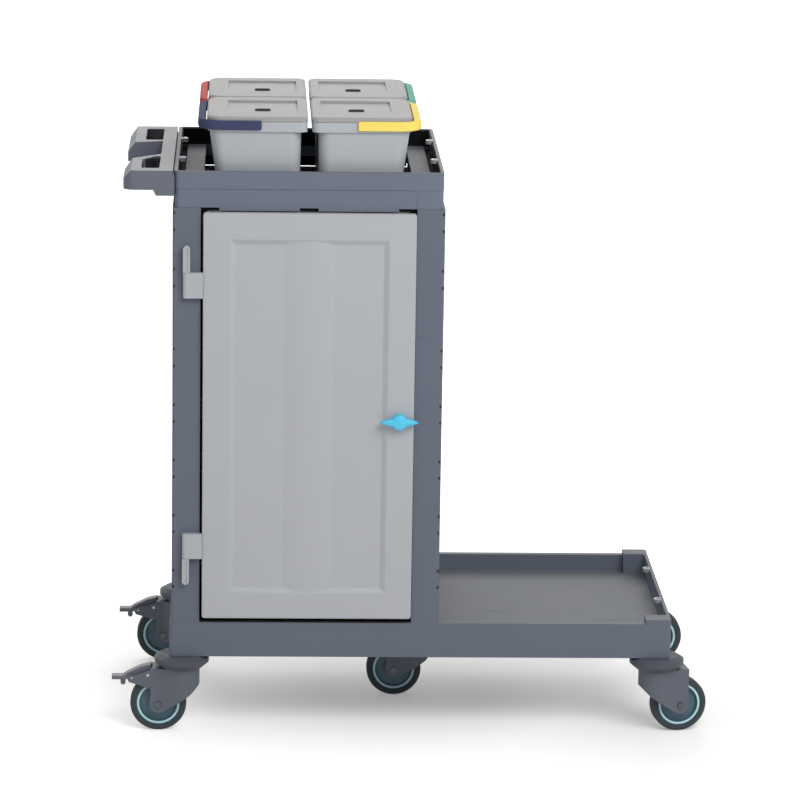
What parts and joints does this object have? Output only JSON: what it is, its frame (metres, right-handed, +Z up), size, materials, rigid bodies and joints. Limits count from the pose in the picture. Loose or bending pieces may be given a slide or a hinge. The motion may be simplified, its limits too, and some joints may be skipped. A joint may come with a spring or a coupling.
{
  "type": "janitor cart",
  "caption": "Moulded cleaning cart on swivel casters: cabinet with a latched door, open platform, top tray of lidded buckets with bails, push handle.",
  "frame": {"origin": "on the floor, in the middle of the whole cart's box", "axes": "+X along the cart from the handle to the platform, -Y the door side, +Z up"},
  "size_m": [1.066, 0.534, 1.1088],
  "materials": {
    "slate_frame": "fine moulded grain",
    "slate_lining": "fine moulded grain",
    "light_grey_door": "fine moulded grain",
    "light_grey_fittings": "satin",
    "socket_grey": "satin",
    "black_liner": "matt",
    "steel": "turned",
    "axle_zinc": "dull zinc plate",
    "cyan_knob": "moulded",
    "fork_grey": "fine moulded grain",
    "bumper_grey": "fine moulded grain",
    "tyre_rubber": "matt",
    "hub_grey": "satin",
    "pedal_grey": "satin",
    "bucket_grey": "moulded",
    "lid_grey": "moulded",
    "bail_navy": "moulded",
    "bail_yellow": "moulded",
    "bail_red": "moulded",
    "bail_green": "moulded"
  },
  "bodies": {
    "root": {"base_frame": "slate_frame", "base_sockets": "socket_grey", "left_side_lower": "slate_frame", "left_side_upper": "slate_frame", "right_side_lower": "slate_frame", "right_side_upper": "slate_frame", "rear_panel": "slate_lining", "lower_shelf": "slate_lining", "middle_shelf": "slate_lining", "bucket_shelf": "slate_lining", "top_tray": "slate_frame", "tray_liner": "black_liner", "tray_sockets": "socket_grey", "push_handle": "slate_frame", "handle_screws": "steel", "hinge_brackets": "light_grey_fittings", "hinge_pins": "steel", "latch_strike": "light_grey_fittings", "caster_heads": "bumper_grey", "swivel_pins": "steel"},
    "door": {"door_panel": "light_grey_door", "hinge_arms": "light_grey_fittings"},
    "latch": {"latch_knob": "cyan_knob", "latch_cam": "steel"},
    "caster_front_left": {"fork_fl": "fork_grey", "axle_fl": "axle_zinc", "pedal_pin_fl": "steel"},
    "wheel_front_left": {"tyre_fl": "tyre_rubber", "hub_fl": "hub_grey"},
    "brake_front_left": {"pedal_fl": "pedal_grey"},
    "caster_rear_left": {"fork_rl": "fork_grey", "axle_rl": "axle_zinc", "pedal_pin_rl": "steel"},
    "wheel_rear_left": {"tyre_rl": "tyre_rubber", "hub_rl": "hub_grey"},
    "brake_rear_left": {"pedal_rl": "pedal_grey"},
    "caster_front_right": {"fork_fr": "fork_grey", "axle_fr": "axle_zinc"},
    "wheel_front_right": {"tyre_fr": "tyre_rubber", "hub_fr": "hub_grey"},
    "caster_rear_right": {"fork_rr": "fork_grey", "axle_rr": "axle_zinc"},
    "wheel_rear_right": {"tyre_rr": "tyre_rubber", "hub_rr": "hub_grey"},
    "caster_centre": {"fork_c": "fork_grey", "axle_c": "axle_zinc"},
    "wheel_centre": {"tyre_c": "tyre_rubber", "hub_c": "hub_grey"},
    "bucket_front_left": {"bucket_fl": "bucket_grey"},
    "lid_front_left": {"lid_fl": "lid_grey"},
    "bail_front_left": {"bail_fl": "bail_navy"},
    "bucket_front_right": {"bucket_fr": "bucket_grey"},
    "lid_front_right": {"lid_fr": "lid_grey"},
    "bail_front_right": {"bail_fr": "bail_yellow"},
    "bucket_rear_left": {"bucket_rl": "bucket_grey"},
    "lid_rear_left": {"lid_rl": "lid_grey"},
    "bail_rear_left": {"bail_rl": "bail_red"},
    "bucket_rear_right": {"bucket_rr": "bucket_grey"},
    "lid_rear_right": {"lid_rr": "lid_grey"},
    "bail_rear_right": {"bail_rr": "bail_green"}
  },
  "joints": [
    {"name": "door_swing", "type": "hinge", "parent": "root", "child": "door", "pos_m": [-0.40243, -0.249, 0.204], "axis": [0, 0, -1], "range_deg": [0, 170]},
    {"name": "latch_turn", "type": "hinge", "parent": "door", "child": "latch", "pos_m": [-0.02863, -0.2505, 0.575], "axis": [0, -1, 0], "range_deg": [0, 90]},
    {"name": "swivel_front_left", "type": "hinge", "parent": "root", "child": "caster_front_left", "pos_m": [-0.40893, -0.2185, 0.1167], "axis": [0, 0, 1], "continuous": true},
    {"name": "wheel_spin_front_left", "type": "hinge", "parent": "caster_front_left", "child": "wheel_front_left", "pos_m": [-0.45043, -0.2185, 0.05], "axis": [0, 1, 0], "continuous": true},
    {"name": "brake_front_left", "type": "hinge", "parent": "caster_front_left", "child": "brake_front_left", "pos_m": [-0.46893, -0.2185, 0.1045], "axis": [0, -1, 0], "range_deg": [0, 10]},
    {"name": "swivel_rear_left", "type": "hinge", "parent": "root", "child": "caster_rear_left", "pos_m": [-0.40893, 0.2185, 0.1167], "axis": [0, 0, 1], "continuous": true},
    {"name": "wheel_spin_rear_left", "type": "hinge", "parent": "caster_rear_left", "child": "wheel_rear_left", "pos_m": [-0.45043, 0.2185, 0.05], "axis": [0, 1, 0], "continuous": true},
    {"name": "brake_rear_left", "type": "hinge", "parent": "caster_rear_left", "child": "brake_rear_left", "pos_m": [-0.46893, 0.2185, 0.1045], "axis": [0, -1, 0], "range_deg": [0, 10]},
    {"name": "swivel_front_right", "type": "hinge", "parent": "root", "child": "caster_front_right", "pos_m": [0.44107, -0.2185, 0.1167], "axis": [0, 0, 1], "continuous": true},
    {"name": "wheel_spin_front_right", "type": "hinge", "parent": "caster_front_right", "child": "wheel_front_right", "pos_m": [0.48194, -0.21129, 0.05], "axis": [0.1736, -0.9848, 0], "continuous": true},
    {"name": "swivel_rear_right", "type": "hinge", "parent": "root", "child": "caster_rear_right", "pos_m": [0.44107, 0.2185, 0.1167], "axis": [0, 0, 1], "continuous": true},
    {"name": "wheel_spin_rear_right", "type": "hinge", "parent": "caster_rear_right", "child": "wheel_rear_right", "pos_m": [0.48257, 0.2185, 0.05], "axis": [0, -1, 0], "continuous": true},
    {"name": "swivel_centre", "type": "hinge", "parent": "root", "child": "caster_centre", "pos_m": [0.01907, 0, 0.1167], "axis": [0, 0, 1], "continuous": true},
    {"name": "wheel_spin_centre", "type": "hinge", "parent": "caster_centre", "child": "wheel_centre", "pos_m": [-0.02243, 0, 0.05], "axis": [0, 1, 0], "continuous": true},
    {"name": "bucket_lift_front_left", "type": "slide", "parent": "root", "child": "bucket_front_left", "axis": [0, 0, 1], "range_m": [0, 0.2]},
    {"name": "lid_lift_front_left", "type": "slide", "parent": "bucket_front_left", "child": "lid_front_left", "axis": [0, 0, 1], "range_m": [0, 0.045]},
    {"name": "bail_swing_front_left", "type": "hinge", "parent": "bucket_front_left", "child": "bail_front_left", "pos_m": [-0.28068, -0.1185, 1.0945], "axis": [0, 1, 0], "range_deg": [0, 110]},
    {"name": "bucket_lift_front_right", "type": "slide", "parent": "root", "child": "bucket_front_right", "axis": [0, 0, 1], "range_m": [0, 0.2]},
    {"name": "lid_lift_front_right", "type": "slide", "parent": "bucket_front_right", "child": "lid_front_right", "axis": [0, 0, 1], "range_m": [0, 0.045]},
    {"name": "bail_swing_front_right", "type": "hinge", "parent": "bucket_front_right", "child": "bail_front_right", "pos_m": [-0.09918, -0.1185, 1.0945], "axis": [0, -1, 0], "range_deg": [0, 110]},
    {"name": "bucket_lift_rear_left", "type": "slide", "parent": "root", "child": "bucket_rear_left", "axis": [0, 0, 1], "range_m": [0, 0.2]},
    {"name": "lid_lift_rear_left", "type": "slide", "parent": "bucket_rear_left", "child": "lid_rear_left", "axis": [0, 0, 1], "range_m": [0, 0.045]},
    {"name": "bail_swing_rear_left", "type": "hinge", "parent": "bucket_rear_left", "child": "bail_rear_left", "pos_m": [-0.28068, 0.1185, 1.0945], "axis": [0, 1, 0], "range_deg": [0, 110]},
    {"name": "bucket_lift_rear_right", "type": "slide", "parent": "root", "child": "bucket_rear_right", "axis": [0, 0, 1], "range_m": [0, 0.2]},
    {"name": "lid_lift_rear_right", "type": "slide", "parent": "bucket_rear_right", "child": "lid_rear_right", "axis": [0, 0, 1], "range_m": [0, 0.045]},
    {"name": "bail_swing_rear_right", "type": "hinge", "parent": "bucket_rear_right", "child": "bail_rear_right", "pos_m": [-0.09918, 0.1185, 1.0945], "axis": [0, -1, 0], "range_deg": [0, 110]}
  ]
}
